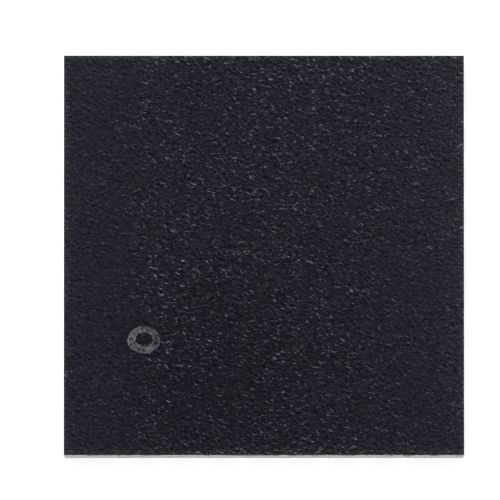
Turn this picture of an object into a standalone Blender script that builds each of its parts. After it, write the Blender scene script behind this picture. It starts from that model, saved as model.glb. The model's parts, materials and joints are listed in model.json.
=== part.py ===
"""A power-stage chip in a square, flat package with no legs.

A sawn block of black moulding compound holds an etched copper lead frame, two
power transistors, the small die that drives them, the copper clip that joins
them, the solder under and over them, and the bond wires. Only the lands show,
round the underside and as cut ends in the four sides.

The frame stands on the lands: z = 0 is the face that is soldered to the board,
+Z goes up to the marked face, and the corner of lead 1 is at -X -Y. The lands
run anticlockwise from there, seen from above: eight along each edge, with one
place empty on the +X edge.
"""

import math
from collections import namedtuple

import bmesh
import bpy
from mathutils import Matrix

# Every size is in millimetres, and add_object makes them metres
METRES_PER_MILLIMETRE = 0.001

# The moulded block
BODY_WIDTH = 5.00  # along X
BODY_LENGTH = 5.00  # along Y
PACKAGE_HEIGHT = 0.75  # from the board to the marked face
STANDOFF = 0.02  # how far the lands stand proud of the moulding
EDGE_BREAK = 0.012  # worn corner round the marked face
FIT_GAP = 0.005  # between two pieces that touch
SAME_PLACE = 0.00005  # points nearer than this are one point

# The ring that marks the corner of lead 1, burnt into the top
MARK_WIDTH = 0.405
MARK_LENGTH = 0.346
MARK_STROKE = 0.088
MARK_DEPTH = 0.012
MARK_FROM_WEST = 0.99  # from the block's edges to the ring's centre
MARK_FROM_SOUTH = 1.44
MARK_STEPS = 32

# The lead frame, etched from one sheet
FRAME_THICKNESS = 0.20
HALF_ETCH = 0.10  # depth etched away from below, where the metal is buried
LEDGE = 0.04  # how far the buried metal stands out past the land below it
LEAD_PITCH = 0.50
LEADS_PER_EDGE = 8
LAND_WIDTH = 0.28
NECK_WIDTH = 0.21  # where the saw cuts the land
SHOULDER_LENGTH = 0.11  # from the saw cut to the full width
FOOT_LENGTH = 0.36
TIP_RADIUS = 0.08  # inner corners of a single land
ROOT_RADIUS = 0.08  # where a land runs into a paddle
LAND_GAP = 0.25  # bare moulding between one net and the next
PADDLE_CHAMFER = 0.30  # corner of the driver's paddle that points at lead 1
LINK_WIDTH = 0.20  # buried strips that join lands of one net
ARC_STEPS = 4  # straight pieces in a quarter turn

# The comb of eight lands along the +Y edge, and the notches between them
COMB_DEPTH = 0.36
COMB_END_LAND = 0.26
NOTCH_RADIUS = 0.135

# The three paddles and the gate pad
POWER_SPLIT = -0.61  # +Y side of the input and driver paddles
GROUND_SOUTH = -0.02  # -Y side of the ground paddle
GROUND_WEST = -1.20
GATE_PAD_WIDTH = 0.35
GATE_PAD_LENGTH = 0.49

# Dies, with their solder and the glue under the driver
POWER_DIE_THICKNESS = 0.10
DRIVER_DIE_THICKNESS = 0.15
SOLDER_THICKNESS = 0.025
GLUE_THICKNESS = 0.020
SOLDER_INSET = 0.05  # from a die's edge to the edge of its solder
DIE_MARGIN = 0.14  # from a paddle's edge to the die on it
DIE_END_MARGIN = 0.24  # the same beside the lands that run into the paddle

# The clip, pressed from sheet copper
CLIP_THICKNESS = 0.15
CLIP_INSET = 0.10  # from the edge of a die to the edge of the clip
CLIP_GATE_WINDOW = 0.27  # of the high-side die left bare beside the clip
CLIP_SOUTH_WINDOW = 0.20  # of the high-side die left bare below the clip
CLIP_TOE = 0.08  # from the block's side to the end of the clip
CLIP_FOOT_LENGTH = 0.26
CLIP_RAMP_LENGTH = 0.24
CLIP_CORNER_RADIUS = 0.06
CLIP_SLOTS = 3  # through the ramp, for the compound to flow through
CLIP_SLOT_LENGTH = 0.55
CLIP_SLOT_WIDTH = 0.12
RAMP_STEPS = 6

# Bond wires
WIRE_DIAMETER = 0.038
BALL_SHARE = 2.0  # width of the ball over the width of the wire
BALL_HEIGHT = 0.025
BOND_INSET = 0.09  # from a die's edge to the middle of a bond
WIRE_RISE = 0.13  # height of a loop over the die
WIRE_TAIL = 0.07  # flat stitch at the far end
WIRE_STEPS = 6
LANDING = 0.22  # from the saw cut to the end of a stitch

Rect = namedtuple("Rect", "west south east north")
EAST, WEST, NORTH, SOUTH = BODY_WIDTH / 2, -BODY_WIDTH / 2, BODY_LENGTH / 2, -BODY_LENGTH / 2

# How each edge of the block is turned from the -Y edge, as cosine and sine
EDGES = {"south": (1, 0), "east": (0, 1), "north": (-1, 0), "west": (0, -1)}

# The single leads: name, edge, place along the edge, counted anticlockwise from 0
SINGLE_LEADS = [
    ("lead_01_control", "south", 0),
    ("lead_02_mode", "south", 1),
    ("lead_03_logic_supply", "south", 2),
    ("lead_05_boot", "south", 4),
    ("lead_06_spare", "south", 5),
    ("lead_07_phase", "south", 6),
    ("lead_29_driver_supply", "west", 5),
    ("lead_30_temperature", "west", 6),
    ("lead_31_enable", "west", 7),
]

# Heights of the stack, from the board upwards
POWER_DIE_BASE = FRAME_THICKNESS + SOLDER_THICKNESS + 2 * FIT_GAP
POWER_DIE_TOP = POWER_DIE_BASE + POWER_DIE_THICKNESS
DRIVER_DIE_BASE = FRAME_THICKNESS + GLUE_THICKNESS + 2 * FIT_GAP
DRIVER_DIE_TOP = DRIVER_DIE_BASE + DRIVER_DIE_THICKNESS
CLIP_FOOT_BASE = FRAME_THICKNESS + SOLDER_THICKNESS + 2 * FIT_GAP
CLIP_BASE = POWER_DIE_TOP + SOLDER_THICKNESS + 2 * FIT_GAP


def along(place):
    """Distance of a place from the middle of its edge."""
    return (place - (LEADS_PER_EDGE - 1) / 2) * LEAD_PITCH


LAST_LAND = along(LEADS_PER_EDGE - 1) + LAND_WIDTH / 2  # outer side of an edge's last land

# The exposed faces of the paddles and of the gate pad
DRIVER_PADDLE = Rect(
    WEST + FOOT_LENGTH + LAND_GAP,
    SOUTH + FOOT_LENGTH + LAND_GAP,
    along(3) + LAND_WIDTH / 2,
    POWER_SPLIT,
)
INPUT_PADDLE = Rect(DRIVER_PADDLE.east + LAND_GAP, DRIVER_PADDLE.south, EAST - FOOT_LENGTH, POWER_SPLIT)
GROUND_PADDLE = Rect(GROUND_WEST, GROUND_SOUTH, EAST - FOOT_LENGTH, NORTH - COMB_DEPTH - LAND_GAP)
GATE_PAD = Rect(
    GROUND_PADDLE.west - LAND_GAP - GATE_PAD_WIDTH,
    -along(3) - LAND_WIDTH / 2,
    GROUND_PADDLE.west - LAND_GAP,
    -along(3) - LAND_WIDTH / 2 + GATE_PAD_LENGTH,
)

# The dies, seen from above
LOW_SIDE_DIE = Rect(
    GATE_PAD.west + DIE_MARGIN,
    GROUND_PADDLE.south + DIE_MARGIN,
    GROUND_PADDLE.east - DIE_END_MARGIN,
    GROUND_PADDLE.north - DIE_MARGIN,
)
HIGH_SIDE_DIE = Rect(
    INPUT_PADDLE.west + DIE_END_MARGIN,
    INPUT_PADDLE.south + DIE_MARGIN,
    INPUT_PADDLE.east - DIE_END_MARGIN,
    INPUT_PADDLE.north - DIE_MARGIN,
)
DRIVER_DIE = Rect(
    DRIVER_PADDLE.west + DIE_END_MARGIN,
    DRIVER_PADDLE.south + DIE_MARGIN,
    DRIVER_PADDLE.east - DIE_END_MARGIN,
    DRIVER_PADDLE.north - DIE_END_MARGIN,
)


def grow(rect, distance):
    return Rect(rect.west - distance, rect.south - distance, rect.east + distance, rect.north + distance)


def corners(rect):
    """The rectangle's outline, anticlockwise."""
    return [
        (rect.west, rect.south),
        (rect.east, rect.south),
        (rect.east, rect.north),
        (rect.west, rect.north),
    ]


def on_edge(edge, points):
    """Points given as (distance along the edge, distance in from the saw cut), set on an edge."""
    cosine, sine = EDGES[edge]
    reach = BODY_LENGTH / 2 if edge in ("south", "north") else BODY_WIDTH / 2
    return [
        (u * cosine - (v - reach) * sine, u * sine + (v - reach) * cosine)
        for u, v in points
    ]


def tidied(outline):
    """The outline without repeated points, and without points along a straight side."""
    points = [p for i, p in enumerate(outline) if math.dist(p, outline[i - 1]) > SAME_PLACE]
    kept = []
    for i, (x, y) in enumerate(points):
        (ax, ay), (bx, by) = points[i - 1], points[(i + 1) % len(points)]
        off_line = abs((x - ax) * (by - ay) - (y - ay) * (bx - ax)) / math.hypot(bx - ax, by - ay)
        if off_line > SAME_PLACE:
            kept.append((x, y))
    return kept


def grown(outline, distance):
    """The anticlockwise outline moved outwards by a distance, or inwards if it is negative."""
    outline = tidied(outline)
    moved = []
    for i, (x, y) in enumerate(outline):
        normals = []
        for (ax, ay), (bx, by) in ((outline[i - 1], (x, y)), ((x, y), outline[(i + 1) % len(outline)])):
            length = math.hypot(bx - ax, by - ay)
            normals.append(((by - ay) / length, (ax - bx) / length))
        (px, py), (qx, qy) = normals
        share = distance / (1 + px * qx + py * qy)
        moved.append((x + share * (px + qx), y + share * (py + qy)))
    return moved


def quarter(centre, radius, start):
    """A quarter circle, anticlockwise from the start angle in degrees, or clockwise for a negative radius."""
    turn = math.copysign(90, radius)
    angles = [math.radians(start + turn * step / ARC_STEPS) for step in range(ARC_STEPS + 1)]
    return [(centre[0] + abs(radius) * math.cos(a), centre[1] + abs(radius) * math.sin(a)) for a in angles]


def rounded(rect, radius):
    """The rectangle's outline with its corners rounded."""
    inner = grow(rect, -radius)
    return [
        point
        for turn, corner in enumerate(corners(inner))
        for point in quarter(corner, radius, 180 + 90 * turn)
    ]


def ellipse(centre, width, length):
    angles = [2 * math.pi * step / MARK_STEPS for step in range(MARK_STEPS)]
    return [(centre[0] + width / 2 * math.cos(a), centre[1] + length / 2 * math.sin(a)) for a in angles]


def shoulder(half_width):
    """One side of a land, from the saw cut in to its full width."""
    neck = half_width - (LAND_WIDTH - NECK_WIDTH) / 2
    turns = [math.pi / 2 * step / ARC_STEPS for step in range(ARC_STEPS + 1)]
    return [
        (neck + (half_width - neck) * math.sin(t), SHOULDER_LENGTH * (1 - math.cos(t)))
        for t in turns
    ]


def finger(edge, place, root, flared=(True, True)):
    """A land that runs out from a paddle, root inwards of the saw cut, and back again.

    flared says which of its sides, in anticlockwise order, sweeps into the paddle.
    """
    half = LAND_WIDTH / 2
    sides = []
    for swept in flared:
        end = quarter((half + ROOT_RADIUS, root - ROOT_RADIUS), -ROOT_RADIUS, 180) if swept else [(half, root)]
        sides.append(shoulder(half) + end)
    before, after = sides
    path = [(along(place) - u, v) for u, v in reversed(before)] + [(along(place) + u, v) for u, v in after]
    return on_edge(edge, path)


def single_land():
    """A land by itself, about the middle of its own saw cut, anticlockwise."""
    half = LAND_WIDTH / 2
    side = shoulder(half) + quarter((half - TIP_RADIUS, FOOT_LENGTH - TIP_RADIUS), TIP_RADIUS, 0)
    return side + [(-u, v) for u, v in reversed(side)]


def land_lock():
    """The buried part of a single lead, which the compound grips."""
    half = LAND_WIDTH / 2 + LEDGE
    return rounded(Rect(-half, SHOULDER_LENGTH + LEDGE, half, FOOT_LENGTH + LEDGE), TIP_RADIUS)


def placed(edge, place, outline):
    return on_edge(edge, [(along(place) + u, v) for u, v in outline])


def new_collection(name):
    made = bpy.data.collections.new(name)
    bpy.context.scene.collection.children.link(made)
    return made


def new_material(name, colour, roughness, metallic):
    made = bpy.data.materials.new(name)
    made.use_nodes = True
    shader = made.node_tree.nodes["Principled BSDF"]
    shader.inputs["Base Color"].default_value = (*colour, 1)
    shader.inputs["Roughness"].default_value = roughness
    shader.inputs["Metallic"].default_value = metallic
    return made


def add_object(name, mesh, collection, material=None):
    """An object made of a mesh drawn in millimetres. One with no material is a cutter."""
    mesh.transform(Matrix.Scale(METRES_PER_MILLIMETRE, 4))
    made = bpy.data.objects.new(name, mesh)
    collection.objects.link(made)
    if material:
        mesh.materials.append(material)
    else:
        made.hide_render = True
        made.display_type = "WIRE"
    return made


def welded(curve):
    """The curve's solid as an editable mesh, with its loose caps welded on."""
    drawn = bpy.data.objects.new(curve.name, curve)
    bpy.context.scene.collection.objects.link(drawn)
    mesh = bpy.data.meshes.new_from_object(drawn.evaluated_get(bpy.context.evaluated_depsgraph_get()))
    shape = bmesh.new()
    shape.from_mesh(mesh)
    bmesh.ops.remove_doubles(shape, verts=shape.verts, dist=SAME_PLACE)
    bmesh.ops.recalc_face_normals(shape, faces=shape.faces)
    bpy.data.objects.remove(drawn)
    bpy.data.curves.remove(curve)
    bpy.data.meshes.remove(mesh)
    return shape


def mesh_of(shape, name):
    mesh = bpy.data.meshes.new(name)
    shape.to_mesh(mesh)
    shape.free()
    return mesh


def prism(name, outline, low, high, collection, material=None):
    """A flat outline made solid from one height to another, each end a single face."""
    outline = tidied(outline)
    curve = bpy.data.curves.new(name, "CURVE")
    curve.dimensions = "2D"
    curve.fill_mode = "BOTH"
    curve.extrude = (high - low) / 2
    spline = curve.splines.new("POLY")
    spline.points.add(len(outline) - 1)
    for point, (x, y) in zip(spline.points, outline):
        point.co = (x, y, 0, 1)
    spline.use_cyclic_u = True
    shape = welded(curve)
    for side in (1, -1):
        end = [face for face in shape.faces if all(vertex.co.z * side > 0 for vertex in face.verts)]
        bmesh.ops.dissolve_faces(shape, faces=end)
    for vertex in shape.verts:
        vertex.co.z = high if vertex.co.z > 0 else low
    return add_object(name, mesh_of(shape, name), collection, material)


def block(name, rect, low, high, collection, material=None):
    """A rectangular piece from one height to another."""
    shape = bmesh.new()
    bmesh.ops.create_cube(shape, size=1)
    for vertex in shape.verts:
        vertex.co.x = rect.east if vertex.co.x > 0 else rect.west
        vertex.co.y = rect.north if vertex.co.y > 0 else rect.south
        vertex.co.z = high if vertex.co.z > 0 else low
    return add_object(name, mesh_of(shape, name), collection, material)


def join(piece, other, operation="UNION", solver="EXACT"):
    """A Boolean of the piece with another object."""
    modifier = piece.modifiers.new(operation.lower(), "BOOLEAN")
    modifier.operation = operation
    modifier.object = other
    modifier.solver = solver


def lead_frame_part(name, lands, buried):
    """One net of the lead frame: its lands, full thickness, with the half-etched metal that joins them.

    Its pocket in the block is the same shape, larger by the gap all round.
    """
    levels = [(lands, 0, FRAME_THICKNESS), (buried, HALF_ETCH, FRAME_THICKNESS)]
    shapes = [(outline, low, high) for outlines, low, high in levels for outline in outlines]
    first, *others = shapes
    part = prism(name, *first, PARTS, TINNED_COPPER)
    for i, (outline, low, high) in enumerate(others):
        join(part, prism(f"{name}_piece_{i}", outline, low, high, HELPERS))
    for i, (outline, low, high) in enumerate(shapes):
        prism(f"{name}_pocket_{i}", grown(outline, FIT_GAP), low - FIT_GAP, high + FIT_GAP, POCKETS)
    return part


def single_leads():
    """Nine alike, placed round two edges."""
    for name, edge, place in SINGLE_LEADS:
        lead_frame_part(name, [placed(edge, place, single_land())], [placed(edge, place, land_lock())])


def driver_paddle():
    """Carries the driver, runs into lead 4, and has one corner cut off to point at lead 1."""
    paddle = DRIVER_PADDLE
    root = paddle.south - SOUTH
    outline = [
        (paddle.west + PADDLE_CHAMFER, paddle.south),
        *finger("south", 3, root, flared=(True, False)),
        (paddle.east, paddle.south),
        (paddle.east, paddle.north),
        (paddle.west, paddle.north),
        (paddle.west, paddle.south + PADDLE_CHAMFER),
    ]
    buried = grow(paddle, LEDGE)
    cut = PADDLE_CHAMFER
    ledge = [(buried.west + cut, buried.south), *corners(buried)[1:], (buried.west, buried.south + cut)]
    return lead_frame_part("driver_paddle", [outline], [ledge])


def input_paddle():
    """Carries the high-side die and runs into leads 8 to 11, round the +X -Y corner."""
    paddle = INPUT_PADDLE
    outline = [
        (paddle.west, paddle.south),
        *finger("south", 7, paddle.south - SOUTH),
        *finger("east", 0, FOOT_LENGTH, flared=(False, True)),
        *finger("east", 1, FOOT_LENGTH),
        *finger("east", 2, FOOT_LENGTH, flared=(True, False)),
        (paddle.east, paddle.north),
        (paddle.west, paddle.north),
    ]
    return lead_frame_part("input_paddle", [outline], [corners(grow(paddle, LEDGE))])


def ground_paddle():
    """Carries the low-side die, runs into leads 12 to 15, and reaches lead 28 by a buried arm."""
    paddle = GROUND_PADDLE
    outline = [
        (paddle.west, paddle.south),
        (paddle.east, paddle.south),
        *finger("east", 4, FOOT_LENGTH),
        *finger("east", 5, FOOT_LENGTH),
        *finger("east", 6, FOOT_LENGTH),
        *finger("east", 7, FOOT_LENGTH, flared=(True, False)),
        (paddle.east, paddle.north),
        (paddle.west, paddle.north),
    ]
    arm_y = -along(4)
    arm_end = WEST + FOOT_LENGTH / 2
    elbow = Rect(
        paddle.west - LEDGE,
        arm_y - LINK_WIDTH / 2,
        paddle.west + LINK_WIDTH,
        paddle.south + LINK_WIDTH,
    )
    arm = Rect(arm_end, arm_y - LINK_WIDTH / 2, elbow.east - LEDGE, arm_y + LINK_WIDTH / 2)
    lands = [outline, placed("west", 4, single_land())]
    buried = [corners(grow(paddle, LEDGE)), corners(elbow), corners(arm), placed("west", 4, land_lock())]
    return lead_frame_part("ground_paddle", lands, buried)


def gate_pad():
    """Takes the low-side gate to lead 27. The link between pad and lead is buried."""
    lead_y = -along(3)
    link = Rect(WEST + FOOT_LENGTH / 2, lead_y - LINK_WIDTH / 2, GATE_PAD.east - LEDGE, lead_y + LINK_WIDTH / 2)
    lands = [rounded(GATE_PAD, TIP_RADIUS), placed("west", 3, single_land())]
    buried = [rounded(grow(GATE_PAD, LEDGE), TIP_RADIUS), corners(link), placed("west", 3, land_lock())]
    return lead_frame_part("low_side_gate_pad", lands, buried)


def switch_comb():
    """The output: eight lands fused into a comb along the +Y edge, and leads 24 to 26 joined to it."""
    end = along(LEADS_PER_EDGE - 1) + COMB_END_LAND / 2
    comb = [(-end, COMB_DEPTH), (-end, 0)]
    for place in range(LEADS_PER_EDGE - 1):
        middle = along(place) + LEAD_PITCH / 2
        for step in range(2 * ARC_STEPS + 1):
            turn = math.pi * step / (2 * ARC_STEPS)
            comb.append((middle - NOTCH_RADIUS * math.cos(turn), NOTCH_RADIUS * math.sin(turn)))
    comb += [(end, 0), (end, COMB_DEPTH)]
    lands = [on_edge("north", comb)] + [placed("west", place, single_land()) for place in range(3)]
    web_east = WEST + FOOT_LENGTH + LEDGE + LINK_WIDTH / 2
    web_west = web_east - LINK_WIDTH
    web_north = NORTH - COMB_DEPTH + LINK_WIDTH
    web = Rect(web_west, -along(2) - LAND_WIDTH / 2, web_east, web_north - LEDGE)
    tie = Rect(web_west + LEDGE, NORTH - COMB_DEPTH, -end + LINK_WIDTH, web_north)
    ledge = Rect(-end - LEDGE, NORTH - COMB_DEPTH - LEDGE, end + LEDGE, NORTH - COMB_DEPTH + LINK_WIDTH / 2)
    buried = [corners(ledge), corners(tie), corners(web)]
    buried += [placed("west", place, land_lock()) for place in range(3)]
    return lead_frame_part("switch_comb", lands, buried)


def layer(name, rect, low, thickness, material):
    """A flat piece of the stack, with its pocket in the block."""
    block(name, rect, low, low + thickness, PARTS, material)
    block(f"{name}_pocket", grow(rect, FIT_GAP), low - FIT_GAP, low + thickness + FIT_GAP, POCKETS)


def dies():
    """The three dies on their solder or glue. The low-side die lies face down, its gate on the gate pad."""
    solder_base = FRAME_THICKNESS + FIT_GAP
    high_solder = grow(HIGH_SIDE_DIE, -SOLDER_INSET)
    low_solder = grow(LOW_SIDE_DIE, -SOLDER_INSET)
    gate_solder = Rect(
        low_solder.west,
        low_solder.south,
        GATE_PAD.east,
        min(low_solder.north, GATE_PAD.north - SOLDER_INSET),
    )
    source_solder = low_solder._replace(west=GROUND_PADDLE.west + SOLDER_INSET)
    layer("solder_high_side_drain", high_solder, solder_base, SOLDER_THICKNESS, SOLDER)
    layer("solder_low_side_source", source_solder, solder_base, SOLDER_THICKNESS, SOLDER)
    layer("solder_low_side_gate", gate_solder, solder_base, SOLDER_THICKNESS, SOLDER)
    layer("driver_die_glue", grow(DRIVER_DIE, -SOLDER_INSET), solder_base, GLUE_THICKNESS, GLUE)
    layer("high_side_die", HIGH_SIDE_DIE, POWER_DIE_BASE, POWER_DIE_THICKNESS, SILICON)
    layer("low_side_die", LOW_SIDE_DIE, POWER_DIE_BASE, POWER_DIE_THICKNESS, SILICON)
    layer("driver_die", DRIVER_DIE, DRIVER_DIE_BASE, DRIVER_DIE_THICKNESS, SILICON)


# The clip in plan: over the low-side die and the comb, with a tab over the high-side die
CLIP_PLATE = Rect(
    LOW_SIDE_DIE.west + CLIP_INSET,
    LOW_SIDE_DIE.south + CLIP_INSET,
    LOW_SIDE_DIE.east - CLIP_INSET,
    NORTH - CLIP_TOE,
)
CLIP_TAB = Rect(
    HIGH_SIDE_DIE.west + CLIP_GATE_WINDOW,
    HIGH_SIDE_DIE.south + CLIP_SOUTH_WINDOW,
    CLIP_PLATE.east,
    CLIP_PLATE.south,
)
RAMP_FOOT = CLIP_PLATE.north - CLIP_FOOT_LENGTH
RAMP_HEAD = RAMP_FOOT - CLIP_RAMP_LENGTH


def clip_outline():
    """The clip's plan, anticlockwise, with its five outer corners and its inner one rounded."""
    radius = CLIP_CORNER_RADIUS
    inner = (CLIP_TAB.west - radius, CLIP_PLATE.south - radius)
    return [
        *quarter((CLIP_TAB.west + radius, CLIP_TAB.south + radius), radius, 180),
        *quarter((CLIP_TAB.east - radius, CLIP_TAB.south + radius), radius, 270),
        *quarter((CLIP_PLATE.east - radius, CLIP_PLATE.north - radius), radius, 0),
        *quarter((CLIP_PLATE.west + radius, CLIP_PLATE.north - radius), radius, 90),
        *quarter((CLIP_PLATE.west + radius, CLIP_PLATE.south + radius), radius, 180),
        *quarter(inner, -radius, 90),
    ]


def clip_slots():
    """Slots side by side through the ramp."""
    spacing = (CLIP_PLATE.east - CLIP_PLATE.west) / CLIP_SLOTS
    middle_y = (RAMP_FOOT + RAMP_HEAD) / 2
    slots = []
    for i in range(CLIP_SLOTS):
        middle_x = CLIP_PLATE.west + spacing * (i + 0.5)
        slots.append(
            rounded(
                Rect(
                    middle_x - CLIP_SLOT_LENGTH / 2,
                    middle_y - CLIP_SLOT_WIDTH / 2,
                    middle_x + CLIP_SLOT_LENGTH / 2,
                    middle_y + CLIP_SLOT_WIDTH / 2,
                ),
                CLIP_SLOT_WIDTH / 2 - FIT_GAP,
            )
        )
    return slots


def clip_sheet(name, gap, collection, material=None):
    """Sheet pressed to a foot, a ramp and a plateau, then cut to the clip's plan. A gap makes it larger all round."""
    line = [(CLIP_PLATE.north + CLIP_THICKNESS, CLIP_FOOT_BASE)]
    for step in range(RAMP_STEPS + 1):
        share = step / RAMP_STEPS
        rise = (1 - math.cos(math.pi * share)) / 2
        height = CLIP_FOOT_BASE + (CLIP_BASE - CLIP_FOOT_BASE) * rise
        line.append((RAMP_FOOT - CLIP_RAMP_LENGTH * share, height))
    line.append((CLIP_TAB.south - CLIP_THICKNESS, CLIP_BASE))
    shape = bmesh.new()
    ends = (CLIP_PLATE.west - CLIP_THICKNESS, CLIP_PLATE.east + CLIP_THICKNESS)
    rows = [[shape.verts.new((x, y, z - gap)) for x in ends] for y, z in line]
    for (a, b), (c, d) in zip(rows, rows[1:]):
        shape.faces.new((a, c, d, b))
    sheet = add_object(name, mesh_of(shape, name), collection, material)
    thicken = sheet.modifiers.new("thickness", "SOLIDIFY")
    thicken.thickness = (CLIP_THICKNESS + 2 * gap) * METRES_PER_MILLIMETRE
    thicken.offset = 1
    # The exact solver loses the bent sheet here, and the manifold one doesn't
    plan = prism(f"{name}_plan", grown(clip_outline(), gap), 0, PACKAGE_HEIGHT, HELPERS)
    join(sheet, plan, "INTERSECT", "MANIFOLD")
    for i, slot in enumerate(clip_slots()):
        cutter = prism(f"{name}_slot_{i}", grown(slot, -gap), 0, PACKAGE_HEIGHT, HELPERS)
        join(sheet, cutter, "DIFFERENCE", "MANIFOLD")
    return sheet


def clip():
    """The copper clip on its three patches of solder, with their pockets."""
    clip_sheet("copper_clip", 0, PARTS, BARE_COPPER)
    clip_sheet("copper_clip_pocket", FIT_GAP, POCKETS)
    drain = Rect(CLIP_PLATE.west, CLIP_PLATE.south, CLIP_PLATE.east, LOW_SIDE_DIE.north - CLIP_INSET)
    source = CLIP_TAB._replace(east=min(CLIP_TAB.east, HIGH_SIDE_DIE.east), north=HIGH_SIDE_DIE.north)
    foot = Rect(CLIP_PLATE.west, RAMP_FOOT, CLIP_PLATE.east, CLIP_PLATE.north)
    top = POWER_DIE_TOP + FIT_GAP
    layer("solder_low_side_drain", grow(drain, -SOLDER_INSET), top, SOLDER_THICKNESS, SOLDER)
    layer("solder_high_side_source", grow(source, -SOLDER_INSET), top, SOLDER_THICKNESS, SOLDER)
    foot_base = FRAME_THICKNESS + FIT_GAP
    layer("solder_clip_foot", grow(foot, -SOLDER_INSET), foot_base, SOLDER_THICKNESS, SOLDER)


def wire_path(start, base, end, landing, gap):
    """Points along a bond wire: up out of its ball, over in one loop, and flat along its stitch.

    start and end are (x, y); base and landing are the heights of the faces that it is bonded to.
    """
    run = math.dist(start, end)
    ahead = ((end[0] - start[0]) / run, (end[1] - start[1]) / run)
    stitch_z = landing + FIT_GAP + WIRE_DIAMETER / 2
    ball_top = base + FIT_GAP + BALL_HEIGHT
    knee = run - WIRE_TAIL
    points = [(0, base + FIT_GAP - gap), (0, ball_top)]
    # A cubic curve from the ball to the stitch, held up by its two middle points
    holds = [
        (0, ball_top + WIRE_DIAMETER / 2),
        (0, ball_top + 1.6 * WIRE_RISE),
        (0.6 * knee, ball_top + 0.9 * WIRE_RISE),
        (knee, stitch_z),
    ]
    for step in range(WIRE_STEPS + 1):
        t = step / WIRE_STEPS
        weights = ((1 - t) ** 3, 3 * t * (1 - t) ** 2, 3 * t * t * (1 - t), t**3)
        points.append(tuple(sum(w * hold[axis] for w, hold in zip(weights, holds)) for axis in (0, 1)))
    points.append((run + gap, stitch_z))
    return [(start[0] + ahead[0] * d, start[1] + ahead[1] * d, z) for d, z in points]


def wire_curve(name, path, radius):
    """A round wire along the path, fat at its first two points, where the ball is."""
    curve = bpy.data.curves.new(name, "CURVE")
    curve.dimensions = "3D"
    curve.bevel_depth = radius
    curve.bevel_resolution = 2
    curve.use_fill_caps = True
    spline = curve.splines.new("POLY")
    spline.points.add(len(path) - 1)
    for i, (point, place) in enumerate(zip(spline.points, path)):
        point.co = (*place, 1)
        point.radius = BALL_SHARE if i < 2 else 1
    return curve


def bond_wire(name, start, base, end, landing):
    """One wire, with its tunnel through the compound."""
    for label, gap, collection, material in ((name, 0, PARTS, WIRE_COPPER), (f"{name}_tunnel", FIT_GAP, POCKETS, None)):
        curve = wire_curve(label, wire_path(start, base, end, landing, gap), WIRE_DIAMETER / 2 + gap)
        add_object(label, mesh_of(welded(curve), label), collection, material)


def bond_wires():
    """Thirteen wires: from the driver's four sides, and from the high-side die to lead 7."""
    pads = grow(DRIVER_DIE, -BOND_INSET)
    across = pads.east - pads.west
    up = pads.north - pads.south

    south_leads = [("control", 0), ("mode", 1), ("logic_supply", 2), ("boot", 4)]
    for i, (net, place) in enumerate(south_leads):
        start = (pads.west + across * i / (len(south_leads) - 1), pads.south)
        bond_wire(f"wire_{net}", start, DRIVER_DIE_TOP, *on_edge("south", [(along(place), LANDING)]), FRAME_THICKNESS)

    west_leads = [("driver_supply", 5), ("temperature", 6), ("enable", 7)]
    for i, (net, place) in enumerate(west_leads):
        start = (pads.west, pads.north - up * (i + 0.5) / len(west_leads))
        bond_wire(f"wire_{net}", start, DRIVER_DIE_TOP, *on_edge("west", [(along(place), LANDING)]), FRAME_THICKNESS)

    gate_end = ((WEST + FOOT_LENGTH + GATE_PAD.west) / 2, -along(3))
    ground_end = (pads.west + across / 3, -along(4))
    down_end = (pads.east, (DRIVER_DIE.north + DRIVER_PADDLE.north) / 2 + LEDGE)
    bond_wire("wire_low_side_gate", (pads.west, pads.north), DRIVER_DIE_TOP, gate_end, FRAME_THICKNESS)
    bond_wire("wire_power_ground", (ground_end[0], pads.north), DRIVER_DIE_TOP, ground_end, FRAME_THICKNESS)
    bond_wire("wire_driver_ground", (pads.east, pads.north - BOND_INSET), DRIVER_DIE_TOP, down_end, FRAME_THICKNESS)

    window = HIGH_SIDE_DIE.west + CLIP_GATE_WINDOW / 2 + WIRE_TAIL / 2
    middle = (pads.south + pads.north) / 2
    for net, y in (("high_side_gate", middle), ("high_side_source", pads.south + BOND_INSET)):
        bond_wire(f"wire_{net}", (pads.east, y), DRIVER_DIE_TOP, (window, y), POWER_DIE_TOP)
    phase_start = (along(6), HIGH_SIDE_DIE.south + BOND_INSET)
    bond_wire("wire_phase", phase_start, POWER_DIE_TOP, *on_edge("south", [(along(6), LANDING)]), FRAME_THICKNESS)


def mould_body():
    """The sawn block, with the ring burnt into its top and a pocket for each piece that it holds."""
    body = block("mould_body", Rect(WEST, SOUTH, EAST, NORTH), STANDOFF, PACKAGE_HEIGHT, PARTS, COMPOUND)
    shape = bmesh.new()
    shape.from_mesh(body.data)
    top_edges = [e for e in shape.edges if all(v.co.z > STANDOFF + FIT_GAP for v in e.verts)]
    bmesh.ops.bevel(shape, geom=top_edges, offset=EDGE_BREAK, segments=2, profile=0.5, affect="EDGES")
    shape.to_mesh(body.data)
    shape.free()
    centre = (WEST + MARK_FROM_WEST, SOUTH + MARK_FROM_SOUTH)
    low, high = PACKAGE_HEIGHT - MARK_DEPTH, PACKAGE_HEIGHT + MARK_DEPTH
    mark = prism("corner_mark", ellipse(centre, MARK_WIDTH, MARK_LENGTH), low, high, HELPERS)
    inside = ellipse(centre, MARK_WIDTH - 2 * MARK_STROKE, MARK_LENGTH - 2 * MARK_STROKE)
    join(mark, prism("corner_mark_inside", inside, low - MARK_DEPTH, high + MARK_DEPTH, HELPERS), "DIFFERENCE")
    join(body, mark, "DIFFERENCE")
    hollow = body.modifiers.new("pockets", "BOOLEAN")
    hollow.operation = "DIFFERENCE"
    hollow.operand_type = "COLLECTION"
    hollow.collection = POCKETS
    hollow.solver = "EXACT"


for old in list(bpy.data.objects):
    bpy.data.objects.remove(old)

PARTS = new_collection("power_stage_chip")
HELPERS = new_collection("helpers")
POCKETS = new_collection("pockets")

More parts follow.
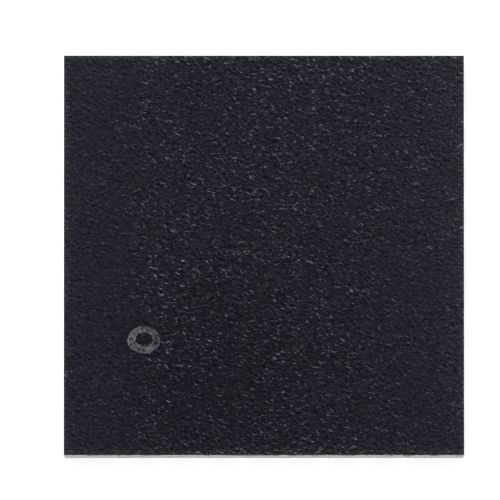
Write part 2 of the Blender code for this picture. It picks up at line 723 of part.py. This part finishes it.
COMPOUND = new_material("moulding_compound", (0.020, 0.021, 0.027), 0.55, 0.0)
TINNED_COPPER = new_material("tinned_copper", (0.52, 0.52, 0.52), 0.45, 1.0)
BARE_COPPER = new_material("bare_copper", (0.60, 0.28, 0.17), 0.35, 1.0)
WIRE_COPPER = new_material("wire_copper", (0.62, 0.30, 0.18), 0.30, 1.0)
SOLDER = new_material("solder", (0.45, 0.45, 0.46), 0.40, 1.0)
GLUE = new_material("die_glue", (0.55, 0.54, 0.50), 0.50, 0.3)
SILICON = new_material("silicon", (0.16, 0.17, 0.20), 0.20, 0.4)

single_leads()
driver_paddle()
input_paddle()
ground_paddle()
gate_pad()
switch_comb()
dies()
clip()
bond_wires()
mould_body()
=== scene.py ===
"""Looks of the power stage chip: its finishes, the floor, the light and the camera."""

import json
import math

import bpy
from mathutils import Matrix, Vector


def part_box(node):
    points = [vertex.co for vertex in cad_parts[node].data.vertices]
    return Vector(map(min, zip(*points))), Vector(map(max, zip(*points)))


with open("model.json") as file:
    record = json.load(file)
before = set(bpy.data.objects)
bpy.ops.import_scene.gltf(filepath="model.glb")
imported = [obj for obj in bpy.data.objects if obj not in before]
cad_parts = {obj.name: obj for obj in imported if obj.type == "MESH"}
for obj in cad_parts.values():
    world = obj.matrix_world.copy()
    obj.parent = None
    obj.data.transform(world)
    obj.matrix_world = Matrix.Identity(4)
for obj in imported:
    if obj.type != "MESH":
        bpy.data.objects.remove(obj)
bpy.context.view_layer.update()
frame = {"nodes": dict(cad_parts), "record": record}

# Sizes are in millimetres unless a name says otherwise.
MILLIMETRES_PER_METRE = 1000.0
BLOCK_LOW, BLOCK_HIGH = (corner * MILLIMETRES_PER_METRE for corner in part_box("mould_body"))
HALF_SIDE = BLOCK_HIGH.x
TOP = BLOCK_HIGH.z
UNDERSIDE = BLOCK_LOW.z
LAND_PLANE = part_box("switch_comb")[0].z * MILLIMETRES_PER_METRE

# The block's upper edges are worn off by this much. A plane is told apart to within a hair.
EDGE_BREAK = 0.012
HAIR = 0.001

# The ring burnt in by the laser next to the first lead. Its hole sits a little off its centre.
RING_CENTRE = (0.997 - HALF_SIDE, 1.44 - HALF_SIDE)
RING_SIZE = (0.409, 0.341)
RING_HOLE_CENTRE = (1.003 - HALF_SIDE, 1.451 - HALF_SIDE)
RING_HOLE_SIZE = (0.218, 0.170)

# How ragged the burn's outline is, how near to the block's edges it may come and how far down.
BURN_RAGGED, BURN_FROM_EDGE, BURN_DEEPEST = 0.03, 0.05, 0.03

# The grain of the faces is drawn out along a line that falls this much towards +X. Each pit has a
# brim this far on either side of that line, one given painted light and the other painted shade.
GRAIN_LEAN = math.radians(-16)
PITS_PER_MM = 29.0
BRIM_SHIFT = 0.008

# The top face: its tone between the pits, how strongly the painted shade of the pits darkens it, and
# the most that the painted light of a brim brightens it, as a power of e. It is painted darkest round
# one place, and a painted highlight runs pale along its edges.
FACE_TONE = 0.765
PAINTED_PIT_SHADE_STRENGTH, BRIGHTEST_PAINTED_BRIM_LIGHT = 22.5, 2.6
PAINTED_SHADE_PLACE = (-0.5, -1.3)
EDGE_HIGHLIGHT_BAND, UPPER_EDGE_HIGHLIGHT_BAND = 0.085, 0.045

# Image and camera. The chip's top face is this wide and stands here in the picture, in pixels.
IMAGE_SIDE = 500
FACE_WIDTH_PIXELS = 400.15
FACE_CENTRE_PIXELS = (263.93, 255.2)
SENSOR_WIDTH = 36.0
CAMERA_PLACE = Vector((-0.4, -15.3, 250.0 + TOP))
CLIP_METRES = (0.001, 20.0)

# The floor, and the light that it gives and that comes from all round, as shares of full light.
FLOOR_SIDE_METRES = 4.0
FLOOR_DROP = 0.002
FLOOR_GLOW = 0.62
SKY_LIGHT = 0.42


def shown(red, green, blue):
    """The colour that shows at those levels from 0 to 255, as linear light."""
    levels = (red / 255, green / 255, blue / 255)
    return tuple(c / 12.92 if c < 0.04 else ((c + 0.055) / 1.055) ** 2.4 for c in levels) + (1.0,)


def grey(level):
    return shown(level, level, level)


# Colours of the moulding compound: its top, the burnt ring, the sawn sides and the underside.
FACE_BLUE, FACE_VIOLET, FACE_WARM = shown(28.9, 31, 38.4), shown(28.9, 30.6, 39.0), shown(36, 34, 39)
# Painted shade for the pits, and a painted highlight for their brims.
PIT_SHADE, BRIM_PAINTED_HIGHLIGHT = shown(0, 1, 8), shown(31.7, 32, 34.2)
BURN_TRACK, BURN_HOLE = shown(97, 97, 101), shown(22, 22, 25)
SAWN_COMPOUND, SAWN_FILLER = shown(67, 67, 76), shown(138, 138, 146)
UNDERSIDE_COMPOUND, UNDERSIDE_FILLER = shown(54, 54, 60), shown(120, 120, 124)

# Colours of the metals. Each copper goes from its darker to its lighter shade.
TIN, TIN_POCK_SHADE, TIN_WIPED, TIN_SMEARED = grey(169), grey(96), grey(186), grey(222)
FRAME_COPPER = (0.62, 0.27, 0.16, 1.0), (0.75, 0.38, 0.24, 1.0)
SAWN_COPPER = (0.31, 0.22, 0.18, 1.0), (0.52, 0.40, 0.34, 1.0)
SAWN_TARNISH = (0.20, 0.15, 0.13, 1.0)
CLIP_COPPER = (0.56, 0.24, 0.14, 1.0), (0.74, 0.37, 0.23, 1.0)
CLIP_STAIN = (0.30, 0.12, 0.08, 1.0)
WIRE_COPPER = (0.60, 0.28, 0.17, 1.0), (0.72, 0.37, 0.23, 1.0)
WIRE_STAIN = (0.42, 0.18, 0.11, 1.0)
SOLDER_BRIGHT, SOLDER_DULL = grey(182), shown(140, 140, 136)

# Colours of the dies and their glue, and of the floor.
SILICON = shown(104, 104, 116), shown(128, 128, 138)
GLUE, GLUE_FLAKE = shown(168, 168, 160), shown(226, 226, 223)
PAPER, WHITE = grey(232), grey(255)


class Reading:
    """The output of a node, used in expressions as if it were a number."""

    def __init__(self, nodes, socket):
        self.nodes, self.socket = nodes, socket

    def maths(self, operation, *values):
        return self.nodes.node("ShaderNodeMath", {"operation": operation}, dict(enumerate(values)))

    def output(self, name):
        """Another output of the same node."""
        return Reading(self.nodes, self.socket.node.outputs[name])

    def __add__(self, other):
        return self.maths("ADD", self, other)

    def __radd__(self, other):
        return self.maths("ADD", other, self)

    def __sub__(self, other):
        return self.maths("SUBTRACT", self, other)

    def __rsub__(self, other):
        return self.maths("SUBTRACT", other, self)

    def __mul__(self, other):
        return self.maths("MULTIPLY", self, other)

    def __rmul__(self, other):
        return self.maths("MULTIPLY", other, self)

    def __truediv__(self, other):
        return self.maths("DIVIDE", self, other)

    def __rtruediv__(self, other):
        return self.maths("DIVIDE", other, self)

    def __neg__(self):
        return self.maths("MULTIPLY", self, -1.0)

    def __abs__(self):
        return self.maths("ABSOLUTE", self)

    def __gt__(self, other):
        return self.maths("GREATER_THAN", self, other)

    def __lt__(self, other):
        return self.maths("LESS_THAN", self, other)

    def least(self, other):
        return self.maths("MINIMUM", self, other)

    def most(self, other):
        return self.maths("MAXIMUM", self, other)

    def exponential(self):
        return self.maths("EXPONENT", self)

    def sine(self):
        return self.maths("SINE", self)

    def ramp(self, low, high, start=0.0, end=1.0):
        """Start below low and end above high, smooth in between."""
        return self.nodes.node(
            "ShaderNodeMapRange",
            {"interpolation_type": "SMOOTHSTEP"},
            {"Value": self, "From Min": low, "From Max": high, "To Min": start, "To Max": end},
        )


class Nodes:
    """A tree of shader nodes that is made from expressions."""

    def __init__(self, tree):
        self.tree = tree
        self.tree.nodes.clear()

    def node(self, kind, settings=None, values=None, output=0):
        """Any node: its settings first, then the values or links of its sockets."""
        made = self.tree.nodes.new(kind)
        for name, value in (settings or {}).items():
            setattr(made, name, value)
        for name, value in (values or {}).items():
            socket = made.inputs[name]
            if isinstance(value, Reading):
                self.tree.links.new(value.socket, socket)
            elif isinstance(value, tuple):
                socket.default_value = value[: len(socket.default_value)]
            else:
                socket.default_value = value
        return Reading(self, made.outputs[output]) if made.outputs else None

    def vector(self, operation, *values, **named):
        return self.node(
            "ShaderNodeVectorMath", {"operation": operation}, {**dict(enumerate(values)), **named}
        )

    def length(self, vector):
        return self.vector("LENGTH", vector).output("Value")

    def parts(self, vector):
        split = self.node("ShaderNodeSeparateXYZ", None, {0: vector})
        return split, split.output("Y"), split.output("Z")

    def noise(self, vector, per_mm, detail=2.0, roughness=0.5, swirl=0.0):
        """Soft noise from 0 to 1, of that many lumps a millimetre."""
        return self.node(
            "ShaderNodeTexNoise",
            None,
            {
                "Vector": vector,
                "Scale": per_mm,
                "Detail": detail,
                "Roughness": roughness,
                "Distortion": swirl,
            },
        )

    def cells(self, vector, per_mm):
        """Distance from the nearest of scattered points, of that many a millimetre."""
        return self.node("ShaderNodeTexVoronoi", None, {"Vector": vector, "Scale": per_mm})

    def chance(self, cells):
        """A number from 0 to 1 for each of the points."""
        return self.parts(cells.output("Color"))[0]

    def blend(self, share, first, second):
        """The first colour, and the second where share is 1."""
        return self.node(
            "ShaderNodeMix",
            {"data_type": "RGBA", "clamp_factor": True},
            {0: share, 6: first, 7: second},
            output=2,
        )

    def dimmed(self, colour, amount):
        """A colour times a number."""
        return self.vector("SCALE", colour, Scale=amount)


class Finish(Nodes):
    """A material, with the place on the piece in millimetres."""

    def __init__(self, name):
        self.material = bpy.data.materials.new(name)
        self.material.use_nodes = True
        super().__init__(self.material.node_tree)
        coordinates = self.node("ShaderNodeTexCoord", output="Object")
        self.place = self.vector("SCALE", coordinates, Scale=MILLIMETRES_PER_METRE)
        self.x, self.y, self.z = self.parts(self.place)

    def from_middle(self):
        """How far out a point is towards the nearest side of the block."""
        return abs(self.x).most(abs(self.y))

    def stretched(self, *stretch, shift=(0.0, 0.0, 0.0)):
        """The place on the piece, with each axis stretched and then shifted."""
        return self.vector("MULTIPLY_ADD", self.place, stretch, shift)

    def seen_from(self, centre):
        """The place on the face, counted from that centre."""
        return self.stretched(1.0, 1.0, 0.0, shift=(-centre[0], -centre[1], 0.0))

    def drawn_out(self, stretch, up=0.0):
        """The place on the piece, for a grain that is drawn out along its lean and moved that far
        across it."""
        return self.node(
            "ShaderNodeMapping",
            {"vector_type": "TEXTURE"},
            {
                "Vector": self.place,
                "Location": (-math.sin(GRAIN_LEAN) * up, math.cos(GRAIN_LEAN) * up, 0.0),
                "Rotation": (0.0, 0.0, GRAIN_LEAN),
                "Scale": (stretch, 1.0, 1.0),
            },
        )

    def bump(self, height, depth):
        """The normal of a surface whose height goes from 0 to depth, in millimetres."""
        return self.node(
            "ShaderNodeBump",
            None,
            {"Height": height, "Distance": depth / MILLIMETRES_PER_METRE, "Strength": 1.0},
        )

    def surface(self, values):
        return self.shaded(self.node("ShaderNodeBsdfPrincipled", None, values))

    def shaded(self, shader):
        self.node("ShaderNodeOutputMaterial", None, {"Surface": shader})
        return self.material


def out_of_oval(finish, centre, size):
    """How far a point is outside an oval on the face, and the way to it from the oval's centre."""
    way = finish.seen_from(centre)
    reach = finish.length(way)
    scaled = finish.vector("DIVIDE", way, (size[0] / 2, size[1] / 2, 1.0))
    return reach - reach / finish.length(scaled), way


def into_ring(finish):
    """Distance into the stroke of the burnt ring, with the ragged outline of a burn, and the
    direction from the ring's centre."""
    outside, way = out_of_oval(finish, RING_CENTRE, RING_SIZE)
    off_hole, _ = out_of_oval(finish, RING_HOLE_CENTRE, RING_HOLE_SIZE)
    ragged = finish.noise(finish.place, per_mm=22.0, detail=3.0, roughness=0.65) - 0.5
    return off_hole.least(-outside) + ragged * BURN_RAGGED, finish.vector("NORMALIZE", way)


def moulded_face(finish, brim_light_and_shade, lumps, into):
    """Colour of the top: a grain of fine pits, each with painted light on its upper brim and painted
    shade on its lower one.
    """
    place, outward = finish.place, finish.from_middle()
    # Distance from the place where the painted shade is deepest.
    from_painted_shade = finish.length(finish.seen_from(PAINTED_SHADE_PLACE))

    # The grain is calmer towards the -X and +X sides, and in soft patches all over.
    calm_sides = finish.x.ramp(-1.8, -1.35, start=0.60, end=1.0)
    calm_sides = calm_sides * finish.x.ramp(0.9, 2.2, start=1.0, end=0.69)
    patches = finish.noise(place, per_mm=1.7, detail=3.0, roughness=0.6)
    busy = patches.ramp(0.34, 0.62, start=0.76, end=1.0) * calm_sides
    busy = busy * from_painted_shade.ramp(0.8, 2.2, start=1.14, end=1.0)
    busy = busy * finish.y.ramp(1.7, 2.3, start=1.0, end=0.95)
    uneven = finish.noise(finish.drawn_out(1.0, up=0.5), per_mm=13.0, detail=1.0).ramp(0.40, 0.70)
    # Painted light on the upper brims and painted shade on the lower ones; this grain is painted
    # light and shade.
    brim_painted_light = (brim_light_and_shade - 0.03).most(0.0) * (7.0 + uneven * 11.0)
    brim_painted_shade = (brim_light_and_shade + 0.05).least(0.0) * PAINTED_PIT_SHADE_STRENGTH
    grain = ((brim_painted_light.least(BRIGHTEST_PAINTED_BRIM_LIGHT) + brim_painted_shade) * busy).exponential()

    # It is painted a little lighter towards +Y, +X and the edges and darker round one place, as light
    # falls on it, with a painted highlight pale along the edges, and it is sooty round the ring.
    painted_light_falloff = finish.y / HALF_SIDE * 0.155 + finish.x / HALF_SIDE * 0.04
    painted_light_falloff = painted_light_falloff + abs(finish.x).ramp(0.3 * HALF_SIDE, HALF_SIDE) * 0.18
    painted_light_falloff = painted_light_falloff + outward.ramp(0.75 * HALF_SIDE, HALF_SIDE) * 0.08
    painted_light_falloff = painted_light_falloff + finish.x.ramp(2.05, HALF_SIDE) * 0.18
    painted_light_falloff = painted_light_falloff + finish.x.ramp(-HALF_SIDE, -2.3, start=0.15, end=0.0)
    painted_light_falloff = painted_light_falloff - from_painted_shade.ramp(0.3, 1.6, start=0.14, end=0.0)
    # Painted highlight along the edges, strongest along the +Y edge.
    edge_highlight = outward.ramp(HALF_SIDE - EDGE_HIGHLIGHT_BAND, HALF_SIDE - 0.02) * 0.42
    edge_highlight = edge_highlight + finish.y.ramp(HALF_SIDE - UPPER_EDGE_HIGHLIGHT_BAND, HALF_SIDE) * 0.8
    sooty = into.ramp(-0.13, -0.02) * 0.2
    tone = grain * (FACE_TONE + painted_light_falloff + edge_highlight - sooty + (lumps - 0.5) * 0.4)

    # Its tint drifts a little, and is warmer along the -Y edge.
    drift = finish.noise(place, per_mm=3.5).ramp(0.36, 0.64)
    ground = finish.blend(drift, FACE_BLUE, FACE_VIOLET)
    warm = finish.y.ramp(-HALF_SIDE + 0.05, -HALF_SIDE + 0.15, start=0.8, end=0.0)
    ground = finish.blend(warm, ground, FACE_WARM)
    # Painted shade where the tone falls below 1, and a painted highlight added where it rises above
    # 1.
    painted_highlight = finish.dimmed(BRIM_PAINTED_HIGHLIGHT, (tone - 1.0).most(0.0))
    return finish.vector("ADD", finish.blend(tone, PIT_SHADE, ground), painted_highlight)


def burnt_track(finish, into, round_it, speckle):
    """Colour of the laser's track: pale and lumpy, with brighter rims, strokes and pinholes."""
    rim = into.ramp(0.0, 0.012) * into.ramp(0.014, 0.032, start=1.0, end=0.0)
    depth = finish.node("ShaderNodeCombineXYZ", None, {"Z": into * 55.0})
    along_it = finish.vector("MULTIPLY_ADD", round_it, (2.6, 2.6, 0.0), depth)
    strokes = finish.noise(along_it, per_mm=1.0)
    tone = 0.82 + rim * 0.30 + (speckle - 0.5) * 3.2 + (strokes - 0.5) * 2.6
    holes = finish.cells(finish.place, per_mm=27.0)
    holed = holes.ramp(0.30, 0.44, start=1.0, end=0.0) * finish.chance(holes).ramp(0.68, 0.74)
    return finish.blend(holed * 0.85, finish.dimmed(BURN_TRACK, tone), BURN_HOLE)


def underside_face(finish, brim_light_and_shade, lumps):
    """Colour of the underside: duller, with some grits of the filler laid bare."""
    # The brims' painted light and shade shows on the underside too.
    ground = finish.dimmed(UNDERSIDE_COMPOUND, 1.0 + brim_light_and_shade * 3.6 + (lumps - 0.5) * 0.9)
    grits = finish.cells(finish.drawn_out(1.3), per_mm=14.0)
    bared = grits.ramp(0.12, 0.34, start=1.0, end=0.0) * finish.chance(grits).ramp(0.60, 0.90)
    return finish.blend(bared * 0.8, ground, UNDERSIDE_FILLER)


def moulding_compound():
    """Black moulding compound: grainy top with a burnt ring, sawn sides, duller underside."""
    finish = Finish("moulding_compound")
    place, outward = finish.place, finish.from_middle()
    sawn = (outward > HALF_SIDE - HAIR) * (finish.z < TOP - EDGE_BREAK / 2)
    below = finish.z < UNDERSIDE + HAIR

    # The mould leaves fine pits. Two readings of them, one above the other, differ at their brims;
    # that difference is painted light and shade, bright on one brim and dark on the other.
    pits, pits_above = (
        finish.noise(finish.drawn_out(1.2, up), PITS_PER_MM, detail=1.0, roughness=0.6, swirl=0.6)
        for up in (-BRIM_SHIFT, BRIM_SHIFT)
    )
    brim_light_and_shade = (pits - 0.5) - (pits_above - 0.5) * 0.4
    lumps = finish.noise(finish.drawn_out(1.4), per_mm=9.0)

    # The laser's track is weaker towards +X and in places.
    into, round_it = into_ring(finish)
    speckle = finish.noise(place, per_mm=27.0, roughness=0.6)
    across = finish.x - RING_CENTRE[0]
    weak = across.ramp(-RING_SIZE[0] / 2, RING_SIZE[0] / 2, start=1.0, end=0.70)
    weak = weak * finish.noise(place, per_mm=6.0).ramp(0.34, 0.50, start=0.70, end=1.0)
    burnt = into.ramp(-0.006, 0.005) * weak
    burnt = burnt * (outward < HALF_SIDE - BURN_FROM_EDGE) * (finish.z > TOP - BURN_DEEPEST)

    # Saw marks run along the cut. The blade lays the filler bare and chips the upper edge.
    scores = finish.noise(finish.stretched(1.2, 1.2, 26.0), per_mm=2.2, detail=4.0, roughness=0.65)
    filler = finish.cells(place, per_mm=30.0).ramp(0.12, 0.40, start=1.0, end=0.0)
    # The brims' painted light and shade shows on the cut too.
    cut = finish.dimmed(SAWN_COMPOUND, 0.78 + (scores - 0.5) * 1.6 + brim_light_and_shade * 1.5)
    cut = finish.blend(filler * 0.32, cut, SAWN_FILLER)
    chipped = finish.noise(finish.stretched(1.0, 1.0, 0.5), per_mm=9.0, detail=3.0, roughness=0.6)
    chipped = (chipped + (finish.z - TOP) * 0.5).ramp(0.38, 0.56)

    face = moulded_face(finish, brim_light_and_shade, lumps, into)
    face = finish.blend(burnt, face, burnt_track(finish, into, round_it, speckle))
    colour = finish.blend(sawn, face, cut)
    colour = finish.blend(below, colour, underside_face(finish, brim_light_and_shade, lumps))
    moulded_dullness = 0.62 - brim_light_and_shade * 0.3 + burnt * 0.2
    sawn_dullness = 0.12 + (scores - 0.5) * 0.2 + chipped * 0.26
    moulded_height = pits + lumps * 0.5 + burnt * (speckle - 0.9)
    sawn_height = scores * 0.9 + filler * 0.15
    return finish.surface(
        {
            "Base Color": colour,
            "Roughness": moulded_dullness * (1.0 - sawn) + sawn * sawn_dullness,
            "Specular IOR Level": 0.06,
            "Normal": finish.bump(moulded_height * (1.0 - sawn) + sawn * sawn_height, depth=0.006),
        }
    )


def tinned_copper():
    """Lead frame: matte tin on the lands, bare copper where the saw cut it and inside the block."""
    finish = Finish("tinned_copper")
    place, outward = finish.place, finish.from_middle()
    cut_end = outward > HALF_SIDE - HAIR
    land = finish.z < LAND_PLANE + HAIR

    # Tin: grainy and pocked, with painted shade in the pocks, wiped in places by a tester's probes
    # and smeared by the saw.
    grain = finish.noise(place, per_mm=30.0, detail=3.0, roughness=0.6)
    clouds = finish.noise(place, per_mm=5.0)
    tin = finish.dimmed(TIN, 1.0 + (grain - 0.5) * 3.2 + (clouds - 0.5) * 1.1)
    pocks = finish.noise(finish.drawn_out(1.8), per_mm=16.0, roughness=0.6)
    # Painted shade darkens the pocks.
    tin = finish.blend(pocks.ramp(0.56, 0.66) * 0.65, tin, TIN_POCK_SHADE)
    wipes = finish.noise(finish.stretched(16.0, 2.0, 1.0), per_mm=2.0, detail=3.0, roughness=0.6)
    wiped = finish.noise(place, per_mm=4.5, roughness=0.6).ramp(0.50, 0.60) * 0.7
    tin = finish.blend(wiped, tin, finish.dimmed(TIN_WIPED, 1.0 + (wipes - 0.5) * 1.6))
    smeared = outward.ramp(HALF_SIDE - 0.09, HALF_SIDE - 0.02) * grain.ramp(0.3, 0.6)
    tin = finish.blend(smeared * 0.7, tin, TIN_SMEARED)

    # Copper: rolling lines on the sheet, saw smears and tarnish on the cut ends.
    lines = finish.noise(finish.stretched(1.0, 18.0, 1.0), per_mm=2.0, detail=3.0, roughness=0.6)
    copper = finish.blend(lines.ramp(0.3, 0.7), *FRAME_COPPER)
    smears = finish.noise(finish.stretched(2.0, 2.0, 30.0), per_mm=2.5, detail=3.0, roughness=0.6)
    tarnish = finish.noise(place, per_mm=5.5, detail=3.0, roughness=0.6).ramp(0.38, 0.62)
    sawn_copper = finish.blend(smears.ramp(0.3, 0.7), *SAWN_COPPER)
    sawn_copper = finish.blend(tarnish * 0.7, sawn_copper, SAWN_TARNISH)
    colour = finish.blend(land, finish.blend(cut_end, copper, sawn_copper), tin)

    copper_dullness = 0.34 + (lines - 0.5) * 0.2 + cut_end * (0.09 + tarnish * 0.15)
    tin_dullness = 0.5 + (grain - 0.5) * 0.3
    height = land * (grain * 0.8 - pocks.ramp(0.5, 0.7)) + cut_end * smears
    return finish.surface(
        {
            "Base Color": colour,
            "Metallic": 0.9 - cut_end * (0.2 + tarnish * 0.4),
            "Roughness": copper_dullness * (1.0 - land) + land * tin_dullness,
            "Normal": finish.bump(height, depth=0.005),
        }
    )


def bare_copper():
    """Rolled and pressed copper sheet of the clip."""
    finish = Finish("bare_copper")
    lines = finish.noise(finish.stretched(14.0, 0.8, 1.0), per_mm=3.0, detail=4.0, roughness=0.6)
    stains = finish.noise(finish.place, per_mm=1.4, detail=3.0).ramp(0.52, 0.75)
    colour = finish.blend(lines.ramp(0.25, 0.75), *CLIP_COPPER)
    return finish.surface(
        {
            "Base Color": finish.blend(stains * 0.5, colour, CLIP_STAIN),
            "Metallic": 1.0,
            "Roughness": 0.28 + stains * 0.2 + (lines - 0.5) * 0.15,
            "Normal": finish.bump(lines, depth=0.003),
        }
    )


def wire_copper():
    """Drawn copper wire with a faint grain and darker stains."""
    finish = Finish("wire_copper")
    grain = finish.noise(finish.place, per_mm=60.0, roughness=0.6)
    stains = finish.noise(finish.place, per_mm=4.0).ramp(0.5, 0.75)
    colour = finish.blend(grain.ramp(0.3, 0.7), *WIRE_COPPER)
    return finish.surface(
        {
            "Base Color": finish.blend(stains * 0.35, colour, WIRE_STAIN),
            "Metallic": 1.0,
            "Roughness": 0.22 + stains * 0.18,
            "Normal": finish.bump(grain, depth=0.0008),
        }
    )


def solder():
    """Reflowed solder: bright, softly dimpled, with the dull clouds that flux leaves."""
    finish = Finish("solder")
    dimples = finish.cells(finish.place, per_mm=9.0)
    grain = finish.noise(finish.place, per_mm=30.0, detail=3.0, roughness=0.6)
    clouds = finish.noise(finish.place, per_mm=3.0).ramp(0.4, 0.7)
    colour = finish.blend(clouds, SOLDER_BRIGHT, SOLDER_DULL)
    return finish.surface(
        {
            "Base Color": finish.dimmed(colour, 0.85 + grain * 0.3),
            "Metallic": 1.0,
            "Roughness": 0.30 + clouds * 0.2,
            "Normal": finish.bump(dimples * 0.8 + grain * 0.3, depth=0.004),
        }
    )


def die_glue():
    """Grey glue full of silver flakes."""
    finish = Finish("die_glue")
    flakes = finish.cells(finish.stretched(1.0, 1.0, 3.0), per_mm=28.0)
    lit = finish.chance(flakes).ramp(0.35, 0.9) * flakes.ramp(0.2, 0.5, start=1.0, end=0.0)
    clouds = finish.noise(finish.place, per_mm=4.0)
    glue = finish.dimmed(GLUE, 0.8 + clouds * 0.4)
    return finish.surface(
        {
            "Base Color": finish.blend(lit, glue, GLUE_FLAKE),
            "Metallic": lit * 0.8,
            "Roughness": 0.55 - lit * 0.25,
            "Normal": finish.bump(flakes, depth=0.003),
        }
    )


def silicon():
    """Ground and polished silicon, with soft clouds and the faint arcs that grinding leaves."""
    finish = Finish("silicon")
    wheel_centre, radians_per_mm = (-6.0, -9.0), 160.0
    arcs = (finish.length(finish.seen_from(wheel_centre)) * radians_per_mm).sine()
    clouds = finish.noise(finish.place, per_mm=3.5, detail=3.0)
    colour = finish.blend(clouds.ramp(0.35, 0.65), *SILICON)
    return finish.surface(
        {
            "Base Color": finish.dimmed(colour, 0.96 + arcs * 0.04),
            "Metallic": 0.55,
            "Roughness": 0.22 + (clouds - 0.5) * 0.15,
            "Normal": finish.bump(arcs * 0.5 + 0.5, depth=0.0006),
        }
    )


MAKERS = (moulding_compound, tinned_copper, bare_copper, wire_copper, solder, die_glue, silicon)
FINISHES = {make.__name__: make() for make in MAKERS}

for entry in frame["record"]["subparts"]:
    slots = frame["nodes"][entry["node"]].data.materials
    slots.clear()
    slots.append(FINISHES[entry["material_slot"]])


def seen_as_white(nodes):
    """1 for the rays that show the background: to the camera, in gloss and through glass."""
    rays = nodes.node("ShaderNodeLightPath")
    return (rays + rays.output("Is Glossy Ray") + rays.output("Is Transmission Ray")).least(1.0)


def pale_floor():
    """Pale floor that glows a little where it is seen, and so reads as white beside the shadow.
    It is clear from below, to the camera and to the lamp that lights the underside."""
    finish = Finish("pale_floor")
    paper = finish.noise(finish.place, per_mm=0.8, detail=3.0)
    colour = finish.dimmed(PAPER, 0.99 + paper * 0.02)
    matte = finish.node("ShaderNodeBsdfDiffuse", None, {"Color": colour})
    strength = seen_as_white(finish) * FLOOR_GLOW
    glow = finish.node("ShaderNodeEmission", None, {"Color": WHITE, "Strength": strength})
    both = finish.node("ShaderNodeAddShader", None, {0: matte, 1: glow})
    behind = finish.node("ShaderNodeNewGeometry", output="Backfacing")
    from_lamp = finish.node("ShaderNodeLightPath", output="Is Shadow Ray")
    clear = finish.node("ShaderNodeBsdfTransparent")
    share = behind.most(from_lamp)
    return finish.shaded(finish.node("ShaderNodeMixShader", None, {0: share, 1: both, 2: clear}))


def plane(name, side, height):
    """A flat square, facing up, in metres."""
    mesh = bpy.data.meshes.new(name)
    reach = side / 2
    corners = [(-reach, -reach), (reach, -reach), (reach, reach), (-reach, reach)]
    mesh.from_pydata([(x, y, height) for x, y in corners], [], [(0, 1, 2, 3)])
    made = bpy.data.objects.new(name, mesh)
    bpy.context.scene.collection.objects.link(made)
    return made


floor = plane("floor", FLOOR_SIDE_METRES, (LAND_PLANE - FLOOR_DROP) / MILLIMETRES_PER_METRE)
floor.data.materials.append(pale_floor())


def light_from(name, azimuth, elevation, share, side=0.30, distance=0.55):
    """A square soft lamp, in metres and degrees, with the azimuth from +Y towards +X. Share is the
    part of full light that it gives a face turned to it."""
    lamp = bpy.data.lights.new(name, "AREA")
    lamp.size = side
    # A square lamp of power P lights a face at distance d by P / (pi d^2), and full light is pi.
    lamp.energy = share * math.pi**2 * distance**2
    made = bpy.data.objects.new(name, lamp)
    a, e = math.radians(azimuth), math.radians(elevation)
    towards = Vector((math.sin(a) * math.cos(e), math.cos(a) * math.cos(e), math.sin(e)))
    made.location = towards * distance
    made.rotation_mode = "QUATERNION"
    made.rotation_quaternion = towards.to_track_quat("Z", "Y")
    made.visible_camera = False
    bpy.context.scene.collection.objects.link(made)


light_from("key_light", azimuth=-30, elevation=62, share=0.48)
light_from("fill_light", azimuth=170, elevation=50, share=0.25, side=0.45)

# This one shows the underside, through the floor.
light_from("under_light", azimuth=30, elevation=-45, share=1.1, side=0.45)


def light_all_round():
    """An even sky that lights the chip softly. It shows as white, in gloss too."""
    sky = bpy.data.worlds.new("studio")
    bpy.context.scene.world = sky
    sky.use_nodes = True
    nodes = Nodes(sky.node_tree)
    strength = seen_as_white(nodes).ramp(0.0, 1.0, start=SKY_LIGHT, end=1.0)
    light = nodes.node("ShaderNodeBackground", None, {"Color": WHITE, "Strength": strength})
    nodes.node("ShaderNodeOutputWorld", None, {"Surface": light})


light_all_round()


def make_camera():
    """A long lens, almost straight above, that sets the top face where the picture has it."""
    data = bpy.data.cameras.new("camera")
    data.sensor_width = SENSOR_WIDTH
    pixels_per_mm = FACE_WIDTH_PIXELS / (2 * HALF_SIDE)
    off_x, off_y = ((c - IMAGE_SIDE / 2) / pixels_per_mm for c in FACE_CENTRE_PIXELS)
    back = CAMERA_PLACE - Vector((-off_x, off_y, TOP))
    data.lens = SENSOR_WIDTH * pixels_per_mm * back.length / IMAGE_SIDE
    data.clip_start, data.clip_end = CLIP_METRES
    made = bpy.data.objects.new("camera", data)
    made.location = CAMERA_PLACE / MILLIMETRES_PER_METRE
    made.rotation_mode = "QUATERNION"
    up = back.cross(Vector((1.0, 0.0, 0.0))).normalized()
    right = up.cross(back).normalized()
    axes = Matrix((right, up, back.normalized())).transposed()
    made.rotation_quaternion = axes.to_quaternion()
    bpy.context.scene.collection.objects.link(made)
    return made


bpy.context.scene.camera = make_camera()
bpy.context.scene.view_settings.view_transform = "Standard"
